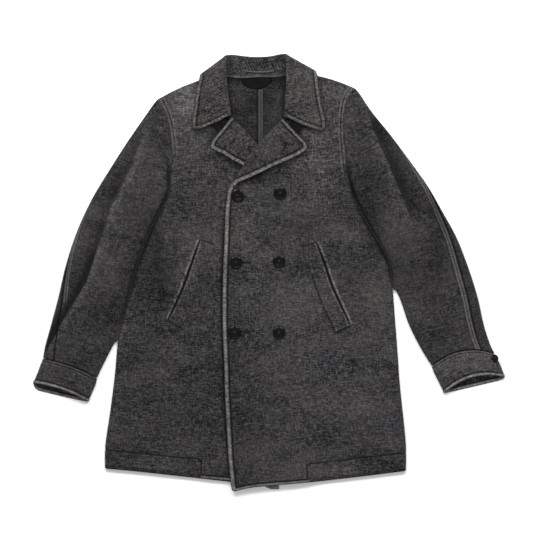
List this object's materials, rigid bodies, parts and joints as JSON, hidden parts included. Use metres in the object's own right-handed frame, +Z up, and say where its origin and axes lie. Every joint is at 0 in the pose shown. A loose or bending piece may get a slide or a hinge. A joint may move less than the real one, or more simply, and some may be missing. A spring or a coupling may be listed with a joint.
{
  "type": "double-breasted pea coat",
  "caption": "Long-sleeved double-breasted wool pea coat laid flat, front up, with turned-down collar, notched lapels and slanted welt pockets.",
  "frame": {"origin": "centre of the laid-out coat's outline box, on the surface that the coat lies on", "axes": "+X towards the wearer's left sleeve (the left front laps over the right), +Y from the hem towards the collar, +Z up from the surface, out of the coat's front"},
  "size_m": [0.992, 0.9197, 0.0327],
  "materials": {
    "wool": "boiled wool melton, charcoal grey, heathered and matt",
    "worn_wool": "the same cloth, paler along its worn, topstitched edges",
    "tape": "grey woven seam tape",
    "label": "black woven patch, bare",
    "buttons": "polished near-black resin"
  },
  "bodies": {
    "root": {"front_left": "wool", "front_right": "wool", "back_left": "wool", "back_right": "wool", "vent_underlap": "wool", "top_sleeve_left": "wool", "top_sleeve_right": "wool", "under_sleeve_left": "wool", "under_sleeve_right": "wool", "cuff_left": "worn_wool", "cuff_right": "worn_wool", "collar": "worn_wool", "lapel_left": "worn_wool", "lapel_right": "worn_wool", "pocket_welt_left": "worn_wool", "pocket_welt_right": "worn_wool", "back_seam_tape": "tape", "neck_label": "label", "hanger_loop": "wool", "button_1": "buttons", "button_2": "buttons", "button_3": "buttons", "button_4": "buttons", "button_5": "buttons", "button_6": "buttons", "cuff_button": "buttons"}
  },
  "joints": []
}
